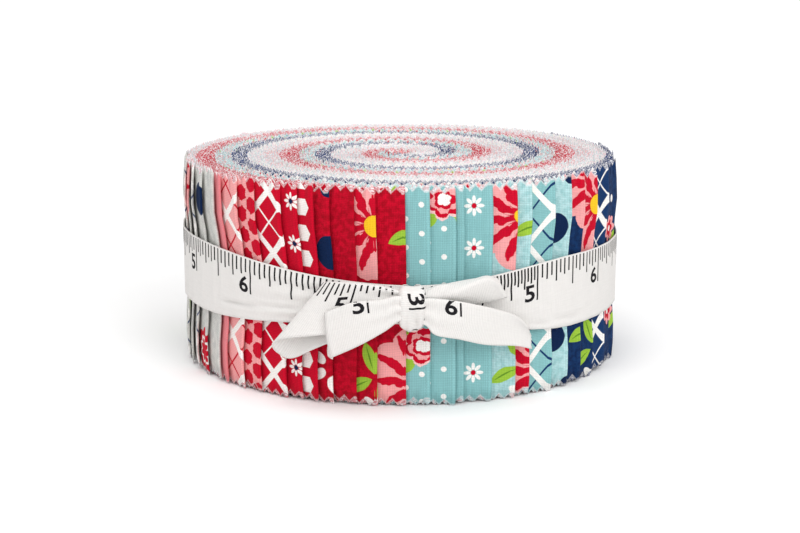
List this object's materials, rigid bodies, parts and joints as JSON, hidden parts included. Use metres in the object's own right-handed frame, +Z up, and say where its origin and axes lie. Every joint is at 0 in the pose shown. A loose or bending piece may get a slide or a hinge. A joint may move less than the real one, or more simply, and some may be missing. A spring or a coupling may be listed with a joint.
{
  "type": "roll of precut fabric strips tied with a tape",
  "caption": "Flat round roll of folded cotton strips with pinked edges, wound in a spiral and tied round the middle with a tape in a bow; the strips are taken off for patchwork.",
  "frame": {"origin": "on the roll's axis, at the surface it stands on", "axes": "+Z up along the roll's axis; the bow faces -Y; +X to the right as seen from the bow"},
  "size_m": [0.14, 0.1468, 0.0644],
  "materials": {
    "strips": "printed plain-weave cotton, matte",
    "tape": "ribbed cotton tape with printed measuring marks, matte"
  },
  "bodies": {
    "root": {"roll": "strips", "tie_band": "tape", "tie_knot": "tape", "loop_left": "tape", "loop_right": "tape", "tail_left": "tape", "tail_right": "tape"}
  },
  "joints": []
}
